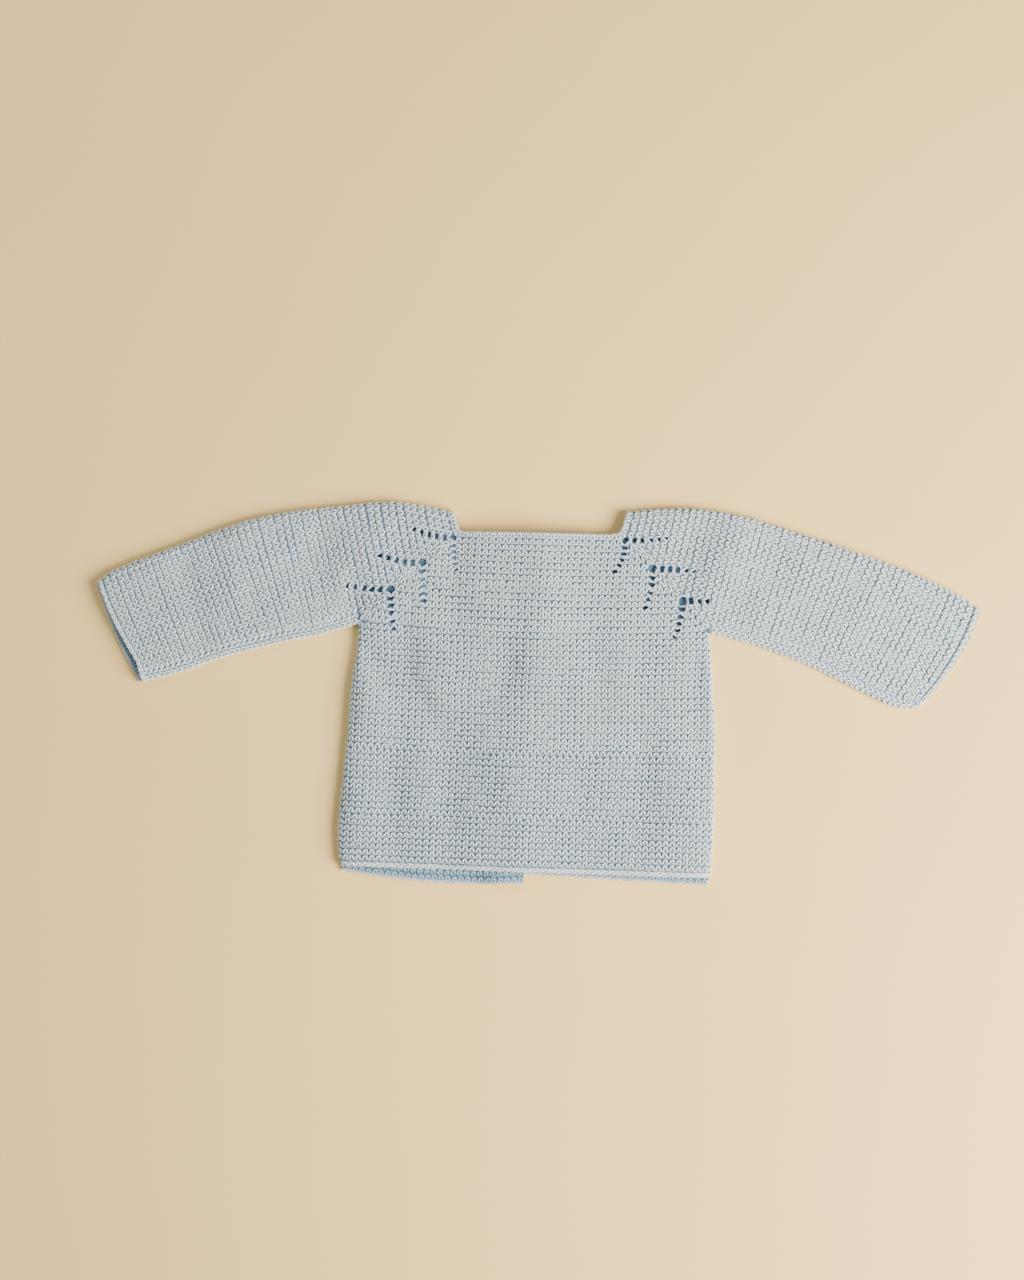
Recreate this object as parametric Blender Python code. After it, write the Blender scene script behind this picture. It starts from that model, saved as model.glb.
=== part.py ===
"""Knit baby sweater, laid flat with its front up.

Metres, +Z up. +Y runs up the garment to the neck and +X to the wearer's left sleeve. The underside
lies on z = 0 and the origin is in the middle of it.

Each panel is a wall lofted through rings, two for each garter ridge of the side that shows: one on
its crest and one in the furrow beside it. The front and the upper half of each sleeve lie on the
two back halves and the lower half of each sleeve, and meet them at the folds of the outline.
"""

import math
from collections import namedtuple

import bmesh
import bpy
from mathutils import Vector

MM = 0.001

# Cloth
WALL = 3.0 * MM  # thickness of the garter stitch
GAP = 0.3 * MM  # between pieces that touch
RELIEF = 0.35 * MM  # how far a garter ridge stands above the middle of the cloth's face
HOLLOW = 0.8 * MM  # air between the layers, away from the folds
PUFF = 1.0 * MM  # how far the upper layer swells, away from the folds
FADE = 9.0 * MM  # width over which the cloth comes down to a fold
EDGE_SHARE = 0.55  # how thick the rounded free edges are, as a share of the wall
SEAM_ROLL = 0.06  # how far a seamed edge is rounded, as a share of a fold's round

# Garter ridges, counted on the front from the neck and on a sleeve from the cuff
YOKE_RIDGES = 16
BODY_RIDGES = 41
SLEEVE_RIDGES = 38
ROLL_RIDGES = 3  # ridges over which the seam at the armpit turns into a fold
PLAIN_STEP = 4  # ridges between two rings of a plain underside
SHARP_ANGLE = math.radians(50)

# Plan of the body, in millimetres. "right" and "left" are the wearer's.
SIGN = {"right": -1, "left": 1}
NECK_CORNER = {"right": Vector((-47.4, 97.8)), "left": Vector((49.2, 96.0))}
ARMPIT = {"right": Vector((-106.5, 43.2)), "left": Vector((102.0, 37.2))}
RAGLAN_BOW = {"right": 15.0, "left": 6.0}
FRONT_HEM_Y = {"right": -103.5, "left": -112.0}
FRONT_SAG = 3.5  # how far the ridges droop in the middle, between the armpits
BACK_HEM_Y = {"right": -105.5, "left": -114.6}
BACK_NECK_Y = 94.5

Side = namedtuple("Side", "share right_x left_x")
SIDES = [
    Side(0.00, -106.5, 102.0),
    Side(0.12, -108.0, 103.2),
    Side(0.25, -111.2, 104.2),
    Side(0.40, -113.0, 105.6),
    Side(0.60, -115.8, 105.0),
    Side(0.85, -119.4, 104.4),
    Side(0.96, -118.8, 102.8),
    Side(1.00, -117.2, 101.0),
]

# Centre back: where each half ends, at the neck and at the hem
HALF_END_X = {"right": (1.2, -9.0), "left": (-14.0, -24.0)}
HALF_HEM_Y = {"right": -113.0, "left": -108.0}
BACK_HEM_BOW = {"right": 3.2, "left": 2.5}
OVERLAP_FOOT = 15.0  # width of the front's slope up to the overlap
OVERLAP_MARGIN = 1.0
LAP_FOOT = 12.0  # width of the right back half's slope up onto the left one
EDGE_MARK_SHARE = 1 / 3  # where the inside bends by the edges, on the way to the overlap

# Plan of the sleeves, in millimetres: the shoulder fold and the fold under the arm
Point = namedtuple("Point", "ridge x y")
SHOULDER = {
    "right": [
        Point(0, -264.4, 66.6),
        Point(3, -253.8, 74.0),
        Point(14, -214.8, 88.8),
        Point(24, -177.0, 101.4),
        Point(30, -150.0, 108.6),
        Point(38, -121.2, 111.9),
        Point(46, -86.0, 114.6),
        Point(54, -50.8, 109.2),
    ],
    "left": [
        Point(0, 264.4, 49.8),
        Point(3, 253.8, 58.2),
        Point(11, 226.2, 71.4),
        Point(21, 187.2, 85.2),
        Point(31, 147.0, 99.0),
        Point(38, 120.0, 106.8),
        Point(46, 87.0, 111.0),
        Point(54, 52.4, 110.0),
    ],
}
UNDERARM = {
    "right": [
        Point(0, -239.0, 8.6),
        Point(14, -190.2, 22.2),
        Point(24, -154.8, 31.8),
        Point(38, -106.5, 43.2),
    ],
    "left": [
        Point(0, 228.6, -8.2),
        Point(4, 214.0, -6.0),
        Point(11, 191.4, 3.0),
        Point(21, 159.6, 18.6),
        Point(31, 125.8, 31.6),
        Point(38, 102.0, 37.2),
    ],
}
CUFF_BOW = {"right": 1.2, "left": 3.0}
CUFF_BOW_RIDGES = 20
CUFF_GAPE = {"right": 4.6, "left": 0.0}  # how far the upper edge of a cuff is drawn back
CUFF_GAPE_RIDGES = 7
CUFF_GAPE_AT = 0.80
CUFF_GAPE_WIDTH = 0.20

# Soft folds of the upper layer, in millimetres and degrees: where each is centred, which way it
# runs, its half length, its half width and how far it rises above the cloth round it
Fold = namedtuple("Fold", "x y turn length width rise")
FOLDS = [
    Fold(-70, 10, 92, 18, 6, -0.9),
    Fold(-54, -17, -38, 17, 6, -0.7),
    Fold(-92, 8, 85, 30, 8, 0.9),
    Fold(-8, 13, 20, 9, 7, -0.7),
    Fold(11, -16, -30, 10, 7, -0.7),
    Fold(-77, -68, 70, 11, 8, -0.9),
    Fold(-64, -83, 30, 13, 8, 0.8),
    Fold(70, -50, -65, 15, 5, -0.9),
    Fold(69, -80, 55, 12, 5, -0.8),
    Fold(74, -5, 88, 26, 7, -0.6),
    Fold(94, -35, 88, 40, 7, 0.7),
    Fold(46, 23, 60, 10, 8, -0.5),
    Fold(-49, 78, 40, 12, 7, -0.7),
    Fold(-89, 104, 5, 18, 7, 0.6),
    Fold(85, 92, -10, 18, 9, 0.9),
    Fold(-124, 80, 85, 18, 5, -0.9),
    Fold(-152, 90, 70, 12, 6, -0.7),
    Fold(-190, 55, 60, 12, 6, -0.7),
    Fold(-205, 72, 75, 12, 6, -0.7),
    Fold(-215, 45, 20, 26, 9, 0.9),
    Fold(101, 83, 80, 12, 5, -0.7),
    Fold(128, 58, 75, 14, 6, -0.7),
    Fold(149, 84, 65, 13, 6, -0.7),
    Fold(143, 52, -20, 22, 8, 0.8),
    Fold(187, 59, 55, 14, 7, -0.7),
    Fold(215, 30, -25, 24, 9, 0.8),
]

# Eyelets: three motifs down each raglan, each a corner hole on the seam with one arm of holes out
# along the sleeve and one down the front, in millimetres
Motif = namedtuple("Motif", "share width height reach rise lean drop")
MOTIFS = {
    "right": [
        Motif(0.065, 3.0, 3.0, -22.5, 4.7, 1.9, -19.1),
        Motif(0.380, 4.4, 4.2, -25.5, 4.7, 1.1, -22.2),
        Motif(0.690, 4.4, 4.2, -25.4, 2.6, 2.0, -23.1),
    ],
    "left": [
        Motif(0.060, 3.0, 3.0, 24.5, 1.5, -6.4, -18.8),
        Motif(0.357, 4.6, 4.6, 25.1, -1.4, -4.0, -22.6),
        Motif(0.688, 4.2, 5.2, 24.0, -0.8, -4.5, -21.9),
    ],
}
ARM_HOLES = 5
FIRST_HOLE = 0.237  # how far along an arm its first hole lies
ARM_HOLE_LONG = 3.0 * MM
ARM_HOLE_SHORT = 2.2 * MM
END_HOLE_SHARE = 0.7  # size of the last hole of an arm next to the first
CORNER_SIDES = 8
ARM_HOLE_SIDES = 6
CUTTER_TOP = 20.0 * MM

FOLD_TURNS = [math.radians(angle) for angle in (0, 30, 60, 90)]
FRONT_COLUMNS = 18
SLEEVE_COLUMNS = 7
PLAIN_COLUMNS = 2

YARN = (0.475, 0.545, 0.585, 1.0)
ROUGHNESS = 0.95

Row = namedtuple("Row", "start end roll_start roll_end bow pull crest share")


def clear_scene():
    for thing in list(bpy.data.objects):
        bpy.data.objects.remove(thing)


def smooth(value):
    value = min(max(value, 0.0), 1.0)
    return value * value * (3 - 2 * value)


def ramp(value):
    return min(max(value, 0.0), 1.0)


def read(table, column, at):
    """One column of a table at a place in its first column, on a smooth curve through its rows."""
    keys = [row[0] for row in table]
    values = [getattr(row, column) for row in table]
    last = len(keys) - 1
    low = max(n for n in range(last) if keys[n] <= at or n == 0)

    def slope(n):
        before, after = max(n - 1, 0), min(n + 1, last)
        return (values[after] - values[before]) / (keys[after] - keys[before])

    width = keys[low + 1] - keys[low]
    t = (at - keys[low]) / width
    start = values[low] * (1 + 2 * t) * (1 - t) ** 2 + slope(low) * width * t * (1 - t) ** 2
    end = values[low + 1] * (3 - 2 * t) * t**2 + slope(low + 1) * width * (t - 1) * t**2
    return start + end


def raglan(side, share, aside=0.0):
    """A point of the raglan seam, from the neck (0) to the armpit (1), moved towards the sleeve."""
    along = ARMPIT[side] - NECK_CORNER[side]
    to_sleeve = Vector((-along.y, along.x)).normalized() * SIGN[side]
    bow = RAGLAN_BOW[side] * share**2 * (1 - share)
    return (NECK_CORNER[side] + along * share + to_sleeve * bow) * MM + to_sleeve * aside


def body_edge(side, ridge, hem_y):
    """The edge of a body panel: the raglan seam, then the fold down the side."""
    if ridge <= YOKE_RIDGES:
        return raglan(side, ridge / YOKE_RIDGES, -GAP / 2)
    share = (ridge - YOKE_RIDGES) / BODY_RIDGES
    x = read(SIDES, side + "_x", share)
    y = ARMPIT[side].y + (hem_y - ARMPIT[side].y) * share
    return Vector((x, y)) * MM


def roll(past_armpit):
    """How round an edge is so many ridges past the armpit: a seam at 0, a fold further on."""
    return SEAM_ROLL + (1 - SEAM_ROLL) * smooth(past_armpit / ROLL_RIDGES)


def half_end_x(side, y):
    """Where a back half ends near the centre back, at a height up the garment."""
    at_neck, at_hem = HALF_END_X[side]
    down = (BACK_NECK_Y * MM - y) / ((BACK_NECK_Y - HALF_HEM_Y[side]) * MM)
    return (at_neck + (at_hem - at_neck) * down) * MM


def overlap_marks(y):
    """The four places across the front where its rise over the overlap starts and stops."""
    low, high = half_end_x("left", y), half_end_x("right", y)
    margin, foot = OVERLAP_MARGIN * MM, OVERLAP_FOOT * MM
    return low - margin - foot, low - margin, high + margin, high + margin + foot


def overlap_rise(x, y, shape):
    """How far the front rises over the overlap, from 0 to 1."""
    foot, top, end, last = overlap_marks(y)
    return shape((x - foot) / (top - foot)) * shape((last - x) / (last - end))


def fold_rise(x, y):
    rise = 0.0
    for fold in FOLDS:
        turn = math.radians(fold.turn)
        dx, dy = x / MM - fold.x, y / MM - fold.y
        along = (dx * math.cos(turn) + dy * math.sin(turn)) / fold.length
        aside = (dy * math.cos(turn) - dx * math.sin(turn)) / fold.width
        rise += fold.rise * math.exp(-(along**2) - aside**2)
    return rise * MM


def upper_inside(x, y, fade):
    lift = (WALL + GAP) * overlap_rise(x, y, ramp)
    return WALL + GAP + HOLLOW * fade + lift


def upper_outside(x, y, fade):
    lift = (WALL + GAP) * overlap_rise(x, y, smooth)
    return WALL + GAP + WALL + fade * (PUFF + fold_rise(x, y)) + lift


def flat_inside(x, y, fade):
    return WALL


def flat_outside(x, y, fade):
    return 0.0


def lapped_lift(x, y):
    """How far the right back half is lifted by the left one under it."""
    _, top, _, _ = overlap_marks(y)
    return (WALL + GAP) * ramp((x - top) / (LAP_FOOT * MM) + 1)


def lapped_inside(x, y, fade):
    return WALL + lapped_lift(x, y)


def lapped_outside(x, y, fade):
    return lapped_lift(x, y)


def lapped_marks(row):
    """The places across the right back half where its lift starts and stops."""
    _, top, _, _ = overlap_marks((row.start.y + row.end.y) / 2)
    return [(x - row.start.x) / (row.end.x - row.start.x) for x in (top - LAP_FOOT * MM, top)]


def front_marks(row):
    """The places across the inside of the front: by each edge, and about the overlap."""
    marks = overlap_marks((row.start.y + row.end.y) / 2)
    across = [(x - row.start.x) / (row.end.x - row.start.x) for x in marks]
    first, last = across[0] * EDGE_MARK_SHARE, 1 - (1 - across[-1]) * EDGE_MARK_SHARE
    return [first] + across + [last]


def even_marks(count):
    return [(n + 1) / (count + 1) for n in range(count)]


def place(row, u):
    """A point in plan on the line of a ring, from its start (0) to its end (1)."""
    pulled = math.exp(-(((u - CUFF_GAPE_AT) / CUFF_GAPE_WIDTH) ** 2))
    return row.start.lerp(row.end, u) + row.bow * (4 * u * (1 - u)) + row.pull * pulled


def ring_points(row, outside, inside, columns, marks):
    """A closed ring: over the outside of the cloth from start to end, and back along the inside."""
    length = (row.end - row.start).length
    across = (row.end - row.start) / length

    def fade(u):
        at_start = 1 - row.roll_start * (1 - smooth(u * length / FADE))
        at_end = 1 - row.roll_end * (1 - smooth((1 - u) * length / FADE))
        return at_start * at_end

    def outer(u, turn, roll, out):
        spot = place(row, u)
        low, high = inside(spot.x, spot.y, fade(u)), outside(spot.x, spot.y, fade(u))
        climb = roll * math.sin(turn) + (1 - roll) * turn / FOLD_TURNS[-1]
        spot = spot + across * (out * row.crest * roll * math.cos(turn))
        z = low + (high - low) * climb * row.share + row.crest * math.sin(turn) * climb
        return Vector((spot.x, spot.y, z))

    turned = [(1 - math.cos(turn)) * WALL / length for turn in FOLD_TURNS]
    first = row.roll_start * turned[-1]
    last = 1 - row.roll_end * turned[-1]
    ring = [outer(row.roll_start * u, turn, row.roll_start, -1) for u, turn in zip(turned, FOLD_TURNS)]
    ring += [outer(first + (last - first) * u, FOLD_TURNS[-1], 1.0, 0) for u in columns]
    closing = [outer(1 - row.roll_end * u, turn, row.roll_end, 1) for u, turn in zip(turned, FOLD_TURNS)]
    ring += closing[::-1]
    for u in reversed(marks):
        spot = place(row, u)
        ring.append(Vector((spot.x, spot.y, inside(spot.x, spot.y, fade(u)))))
    return ring


def knit_material(name):
    material = bpy.data.materials.new(name)
    material.use_nodes = True
    surface = material.node_tree.nodes["Principled BSDF"]
    surface.inputs["Base Color"].default_value = YARN
    surface.inputs["Roughness"].default_value = ROUGHNESS
    surface.inputs["Metallic"].default_value = 0.0
    material.diffuse_color = YARN
    return material


def finish_object(name, shape):
    bmesh.ops.recalc_face_normals(shape, faces=shape.faces)
    mesh = bpy.data.meshes.new(name)
    shape.to_mesh(mesh)
    shape.free()
    piece = bpy.data.objects.new(name, mesh)
    bpy.context.scene.collection.objects.link(piece)
    return piece


def loft(name, rings):
    """A closed wall through rings of equally many points."""
    shape = bmesh.new()
    loops = [[shape.verts.new(point) for point in ring] for ring in rings]
    for before, after in zip(loops, loops[1:]):
        for n in range(len(before)):
            m = (n + 1) % len(before)
            shape.faces.new((before[n], before[m], after[m], after[n]))
    shape.faces.new(loops[0])
    shape.faces.new(loops[-1])
    bmesh.ops.triangulate(shape, faces=shape.faces)
    panel = finish_object(name, shape)
    panel.data.materials.append(knit_material(name))
    panel.data.shade_smooth()
    panel.data.set_sharp_from_angle(angle=SHARP_ANGLE)
    return panel


def halves(count):
    """Every furrow and crest of so many ridges."""
    return [n / 2 for n in range(2 * count + 1)]


def crest_of(ridge):
    return RELIEF if ridge % 1 else -RELIEF


def plain_ridges(first, count):
    """Where the rings of a plain panel lie, evenly spaced from one ridge on."""
    steps = round(count / PLAIN_STEP)
    return [first + count * n / steps for n in range(steps)]


def front_sag(ridge):
    """How far a ridge of the front droops in its middle: most at the armpits, none at the ends."""
    if ridge <= YOKE_RIDGES:
        share = smooth(ridge / YOKE_RIDGES)
    else:
        share = 1 - smooth((ridge - YOKE_RIDGES) / BODY_RIDGES)
    return Vector((0, -FRONT_SAG * MM * share))


def front_row(ridge):
    last = YOKE_RIDGES + BODY_RIDGES
    return Row(
        start=body_edge("right", ridge, FRONT_HEM_Y["right"]),
        end=body_edge("left", ridge, FRONT_HEM_Y["left"]),
        roll_start=roll(ridge - YOKE_RIDGES),
        roll_end=roll(ridge - YOKE_RIDGES),
        bow=front_sag(ridge),
        pull=Vector((0, 0)),
        crest=crest_of(ridge),
        share=EDGE_SHARE if ridge in (0, last) else 1.0,
    )


def back_row(side, ridge):
    """A ring of a back half, from the wearer's right to left."""
    last = YOKE_RIDGES + BODY_RIDGES
    outer = body_edge(side, ridge, BACK_HEM_Y[side])
    y = (BACK_NECK_Y + (HALF_HEM_Y[side] - BACK_NECK_Y) * ridge / last) * MM
    middle = Vector((half_end_x(side, y), y))
    start, end = (outer, middle) if side == "right" else (middle, outer)
    outer_roll = roll(ridge - YOKE_RIDGES)
    rolls = (outer_roll, SEAM_ROLL) if side == "right" else (SEAM_ROLL, outer_roll)
    droop = BACK_HEM_BOW[side] * (ridge / last) ** 4
    return Row(start, end, *rolls, Vector((0, -droop * MM)), Vector((0, 0)), 0.0, 1.0)


def sleeve_row(side, ridge, upper):
    """A ring of half a sleeve, from the shoulder fold to the underarm fold or the raglan seam."""
    top = Vector((read(SHOULDER[side], "x", ridge), read(SHOULDER[side], "y", ridge))) * MM
    if ridge <= SLEEVE_RIDGES:
        low = Vector((read(UNDERARM[side], "x", ridge), read(UNDERARM[side], "y", ridge))) * MM
    else:
        low = raglan(side, (SLEEVE_RIDGES + YOKE_RIDGES - ridge) / YOKE_RIDGES, GAP / 2)
    down = (low - top).normalized()
    outward = Vector((-down.y, down.x)) * SIGN[side]
    bow = CUFF_BOW[side] * ramp(1 - ridge / CUFF_BOW_RIDGES) ** 2 * MM
    gape = CUFF_GAPE[side] * ramp(1 - ridge / CUFF_GAPE_RIDGES) ** 2 * MM if upper else 0.0
    free = upper and ridge in (0, SLEEVE_RIDGES + YOKE_RIDGES)
    return Row(
        start=top,
        end=low,
        roll_start=1.0,
        roll_end=roll(SLEEVE_RIDGES - ridge),
        bow=outward * bow,
        pull=-outward * gape,
        crest=crest_of(ridge) if upper else 0.0,
        share=EDGE_SHARE if free else 1.0,
    )


def hole_cutter(shape, centre, width, height, sides):
    """An upright prism through an eyelet, elliptical in plan."""
    made = bmesh.ops.create_cone(
        shape, cap_ends=True, segments=sides, radius1=0.5, radius2=0.5, depth=CUTTER_TOP
    )
    bmesh.ops.scale(shape, vec=(width, height, 1), verts=made["verts"])
    bmesh.ops.translate(shape, vec=(centre.x, centre.y, CUTTER_TOP / 2), verts=made["verts"])


def arm_holes(corner, across, up):
    """The holes of one arm of a motif, each with its size next to the first."""
    for n in range(ARM_HOLES):
        along = n / (ARM_HOLES - 1)
        part = FIRST_HOLE + (1 - FIRST_HOLE) * along
        yield corner + Vector(across) * part * MM, Vector(up) * part**2 * MM, 1 - (1 - END_HOLE_SHARE) * along


def cut_eyelets(panel, sides, arm):
    """Cuts the corner holes and one arm of each motif through a panel."""
    shape = bmesh.new()
    for side in sides:
        for motif in MOTIFS[side]:
            corner = raglan(side, motif.share)
            hole_cutter(shape, corner, motif.width * MM, motif.height * MM, CORNER_SIDES)
            if arm == "sleeve":
                straight, curl = (motif.reach, 0), (0, motif.rise)
                width, height = ARM_HOLE_SHORT, ARM_HOLE_LONG
            else:
                straight, curl = (0, motif.drop), (motif.lean, 0)
                width, height = ARM_HOLE_LONG, ARM_HOLE_SHORT
            for spot, bend, size in arm_holes(corner, straight, curl):
                hole_cutter(shape, spot + bend, width * size, height * size, ARM_HOLE_SIDES)
    cutter = finish_object(panel.name + "_eyelets", shape)
    cutter.hide_render = True
    cutter.display_type = "WIRE"
    cut = panel.modifiers.new("eyelets", "BOOLEAN")
    cut.operation = "DIFFERENCE"
    cut.solver = "EXACT"
    cut.object = cutter


def make_front():
    ridges = halves(YOKE_RIDGES + BODY_RIDGES)
    rows = [front_row(ridge) for ridge in ridges]
    columns = even_marks(FRONT_COLUMNS)
    rings = [ring_points(row, upper_outside, upper_inside, columns, front_marks(row)) for row in rows]
    cut_eyelets(loft("front", rings), ("right", "left"), "front")


def make_back(side):
    last = YOKE_RIDGES + BODY_RIDGES
    ridges = plain_ridges(0, YOKE_RIDGES) + plain_ridges(YOKE_RIDGES, BODY_RIDGES) + [last]
    rings = []
    for ridge in ridges:
        row = back_row(side, ridge)
        if side == "right":
            marks = lapped_marks(row)
            rings.append(ring_points(row, lapped_outside, lapped_inside, marks, marks))
        else:
            marks = even_marks(PLAIN_COLUMNS)
            rings.append(ring_points(row, flat_outside, flat_inside, marks, marks))
    loft("back_" + side, rings)


def make_sleeve(side):
    last = SLEEVE_RIDGES + YOKE_RIDGES
    rows = [sleeve_row(side, ridge, True) for ridge in halves(last)]
    columns, marks = even_marks(SLEEVE_COLUMNS), even_marks(PLAIN_COLUMNS)
    rings = [ring_points(row, upper_outside, upper_inside, columns, marks) for row in rows]
    cut_eyelets(loft(f"sleeve_{side}_upper", rings), (side,), "sleeve")
    ridges = plain_ridges(0, SLEEVE_RIDGES) + plain_ridges(SLEEVE_RIDGES, YOKE_RIDGES) + [last]
    rows = [sleeve_row(side, ridge, False) for ridge in ridges]
    rings = [ring_points(row, flat_outside, flat_inside, marks, marks) for row in rows]
    loft(f"sleeve_{side}_lower", rings)


def main():
    clear_scene()
    make_front()
    for side in SIGN:
        make_back(side)
        make_sleeve(side)


main()
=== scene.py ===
"""Looks of a knit baby sweater that lies flat with its front up: loops of pale blue yarn in garter
stitch over thin shells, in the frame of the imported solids. Metres, +Z up, +Y towards the neck."""

import math
from collections import namedtuple
from functools import partial

import bmesh
import bpy
import numpy as np
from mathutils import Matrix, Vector


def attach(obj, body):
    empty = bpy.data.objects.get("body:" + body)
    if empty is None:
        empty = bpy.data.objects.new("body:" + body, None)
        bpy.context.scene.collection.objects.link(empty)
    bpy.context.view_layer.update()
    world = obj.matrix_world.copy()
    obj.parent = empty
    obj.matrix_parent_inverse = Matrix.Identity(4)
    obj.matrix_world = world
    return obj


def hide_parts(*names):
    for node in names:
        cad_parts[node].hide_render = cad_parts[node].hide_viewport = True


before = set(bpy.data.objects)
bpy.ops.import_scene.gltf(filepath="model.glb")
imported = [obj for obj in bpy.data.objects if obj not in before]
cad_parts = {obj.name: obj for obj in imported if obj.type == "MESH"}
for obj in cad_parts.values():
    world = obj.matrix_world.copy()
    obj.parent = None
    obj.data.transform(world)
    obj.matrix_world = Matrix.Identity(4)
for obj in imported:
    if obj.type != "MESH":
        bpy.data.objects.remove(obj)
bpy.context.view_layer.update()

bl_info = {
    "name": "Knit Baby Sweater",
    "version": (1, 0, 0),
    "blender": (4, 5, 0),
    "location": "3D View > Sidebar > Sweater",
    "description": "Knits a garter-stitch baby sweater with eyelet raglans, laid flat",
    "category": "Add Mesh",
}

MM = 0.001

# Cloth, as the solids have it
WALL = 3.0 * MM
GAP = 0.3 * MM  # between the layers
PUFF = 1.0 * MM  # how far the upper layer swells, away from the folds
FADE = 9.0 * MM  # width over which the cloth comes down to a fold
SEAM_ROLL = 0.06  # how far a seamed edge is rounded, as a share of a fold's round
ROLL_RIDGES = 3  # over which the seam at the armpit turns into a fold
YOKE_RIDGES = 16
BODY_RIDGES = 41
SLEEVE_RIDGES = 38
HEM_RIDGE = YOKE_RIDGES + BODY_RIDGES  # the body's are counted from the neck
TOP_RIDGE = SLEEVE_RIDGES + YOKE_RIDGES  # a sleeve's are counted from its cuff

# Plan of the body, in millimetres. "right" and "left" are the wearer's.
SIGN = {"right": -1, "left": 1}
NECK_CORNER = {"right": (-47.4, 97.2), "left": (49.2, 95.2)}
ARMPIT = {"right": (-106.5, 43.2), "left": (102.0, 37.2)}
RAGLAN_BOW = {"right": 15.0, "left": 6.0}
FRONT_HEM_Y = {"right": -103.0, "left": -110.5}
FRONT_SAG = 3.5  # of the front's ridges in their middle, most at the armpits
BACK_HEM_Y = {"right": -105.5, "left": -114.6}
BACK_NECK_Y = 94.5

# Its sides: how far down from the armpits, as a share, and x at the right and at the left
SIDES = [
    (0.00, -106.5, 102.0),
    (0.12, -108.0, 103.2),
    (0.25, -111.2, 104.2),
    (0.40, -113.0, 105.6),
    (0.60, -115.8, 105.0),
    (0.85, -119.4, 104.4),
    (0.96, -118.8, 102.8),
    (1.00, -117.2, 101.0),
]

# Centre back: where each half ends, at the neck and at the hem
HALF_END_X = {"right": (1.2, -9.0), "left": (-14.0, -24.0)}
HALF_HEM_Y = {"right": -113.4, "left": -106.6}
BACK_HEM_BOW = {"right": 3.0, "left": 0.2}
OVERLAP_MARGIN = 1.0
LAP_FOOT = 12.0  # over which the upper half comes down beside the lower one
# The front's crest over the overlap: how far in from the upper half's end, how round its tip is,
# how wide its flanks are and how soft their feet
CREST_IN = 2.5
CREST_TIP = 5.0
CREST_FLANK = {"right": 42.0, "left": 32.0}
CREST_FADE = 0.02

# Plan of the sleeves: the shoulder fold and the fold under the arm, as ridge, x and y
SHOULDER = {
    "right": [
        (0, -264.4, 66.6),
        (3, -253.8, 74.0),
        (14, -214.8, 88.8),
        (24, -177.6, 102.4),
        (30, -150.0, 108.6),
        (38, -121.2, 111.9),
        (46, -86.0, 114.6),
        (54, -50.8, 109.2),
    ],
    "left": [
        (0, 265.2, 50.2),
        (3, 253.8, 58.2),
        (11, 226.2, 71.4),
        (21, 187.2, 85.9),
        (31, 147.0, 99.0),
        (38, 120.0, 106.8),
        (46, 87.0, 111.0),
        (54, 53.4, 108.8),
    ],
}
UNDERARM = {
    "right": [
        (0, -239.0, 7.4),
        (7, -214.6, 13.5),
        (14, -190.2, 22.2),
        (24, -154.8, 31.2),
        (31, -130.6, 36.3),
        (38, -106.5, 43.2),
    ],
    "left": [
        (0, 227.8, -8.4),
        (4, 214.0, -7.2),
        (11, 191.4, 3.0),
        (21, 159.6, 18.6),
        (31, 125.8, 30.9),
        (38, 102.0, 37.2),
    ],
}
CUFF_BOW = {"right": 2.2, "left": 4.2}
CUFF_BOW_RIDGES = 20
CUFF_GAPE = {"right": 4.6, "left": 0.0}
CUFF_GAPE_RIDGES = 7
CUFF_GAPE_AT = (0.0, 0.25, 0.82, 1.0)
CUFF_GAPE_SHARE = (0.0, 0.2, 1.0, 0.3)

# Soft folds of the upper layer, in millimetres and degrees: the middle's x and y, which way the
# fold runs, its half length, its half width and how far it rises above the cloth round it
FOLDS = [
    (-210, 66, 105, 34, 9, -2.4),
    (-182, 84, 90, 34, 9, 2.1),
    (-140, 72, 135, 34, 9, -2.4),
    (-134, 82, 75, 22, 11, -2.4),
    (-110, 54, 90, 22, 7, -2.4),
    (-108, -72, 105, 22, 11, 2.4),
    (-106, -4, 105, 22, 11, 2.4),
    (-102, 90, 60, 22, 11, 2.4),
    (-86, -66, 90, 34, 9, -2.4),
    (-82, 2, 135, 34, 9, -2.4),
    (-82, 4, 135, 34, 9, -2.4),
    (-80, 16, 90, 34, 9, -2.4),
    (-64, 64, 135, 34, 9, -2.4),
    (-60, 14, 105, 22, 11, 2.4),
    (-54, -62, 90, 34, 9, -2.2),
    (-50, 90, 90, 34, 9, -2.4),
    (-42, -32, 90, 34, 9, -1.3),
    (-20, 14, 75, 22, 11, -2.4),
    (-14, -56, 105, 22, 11, 2.4),
    (4, 56, 90, 34, 9, 2.2),
    (10, 10, 120, 22, 11, 2.4),
    (16, 0, 135, 34, 9, 2.4),
    (18, 24, 105, 34, 9, 1.6),
    (50, 14, 90, 34, 9, 2.0),
    (62, -50, 90, 34, 9, -1.3),
    (78, -92, 30, 22, 11, 2.4),
    (84, -78, 90, 22, 11, 2.4),
    (84, -50, 105, 34, 9, 2.3),
    (94, 94, 60, 22, 11, -2.3),
    (98, 2, 90, 34, 9, -2.4),
    (106, 66, 60, 34, 9, 2.2),
    (134, 52, 90, 9, 7, 2.1),
    (140, 88, 105, 22, 11, -2.2),
    (192, 48, 60, 22, 11, 1.8),
]
FOLD_MIDDLE = -0.6  # where folds meet, their sum stays within this reach of this middle
FOLD_REACH = 2.4

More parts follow.
